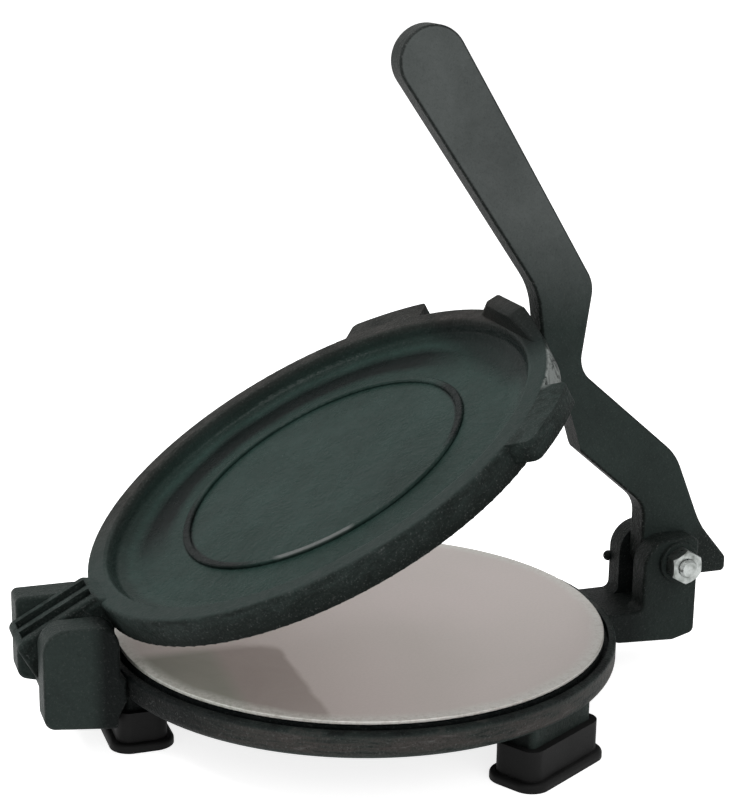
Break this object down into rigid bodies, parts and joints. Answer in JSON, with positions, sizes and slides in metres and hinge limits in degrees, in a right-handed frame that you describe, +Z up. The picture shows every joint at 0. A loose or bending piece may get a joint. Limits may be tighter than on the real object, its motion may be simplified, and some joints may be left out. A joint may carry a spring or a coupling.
{
  "type": "tortilla press",
  "caption": "Cast tortilla press: round dished upper plate hinged over a footed base plate, pressed down by a cranked lever in a clevis.",
  "frame": {"origin": "centre of the lower pressing face, on its surface", "axes": "+X from the plate hinge to the lever, -Y the side of the lever nut, +Z up"},
  "size_m": [0.3083, 0.21, 0.2751],
  "materials": {
    "cast_base": "sand-cast, oiled, dark grey-green",
    "cast_plate": "sand-cast, oiled, dark grey-green",
    "cast_lever": "sand-cast, oiled, dark grey-green",
    "lower_disc_steel": "matt sheet steel with stains",
    "upper_disc_steel": "matt sheet steel",
    "bond": "thin adhesive layer",
    "pin_steel": "plain turned steel",
    "zinc_steel": "bright zinc plated",
    "foot_rubber": "moulded black rubber"
  },
  "bodies": {
    "base": {"base_casting": "cast_base", "lower_press_disc": "lower_disc_steel", "lower_disc_bond": "bond", "hinge_pin": "pin_steel", "lever_bolt": "zinc_steel", "lever_nut": "zinc_steel", "rubber_foot_hinge_side": "foot_rubber", "rubber_foot_near": "foot_rubber", "rubber_foot_far": "foot_rubber"},
    "upper_plate": {"upper_plate_casting": "cast_plate", "upper_press_disc": "upper_disc_steel", "upper_disc_bond": "bond"},
    "lever_arm": {"lever": "cast_lever"}
  },
  "joints": [
    {"name": "plate_hinge", "type": "hinge", "parent": "base", "child": "upper_plate", "pos_m": [-0.126, 0, 0.0023], "axis": [0, -1, 0], "range_deg": [-29, 66]},
    {"name": "lever_pivot", "type": "hinge", "parent": "base", "child": "lever_arm", "pos_m": [0.137, 0, 0.0158], "axis": [0, 1, 0], "range_deg": [0, 35]}
  ]
}
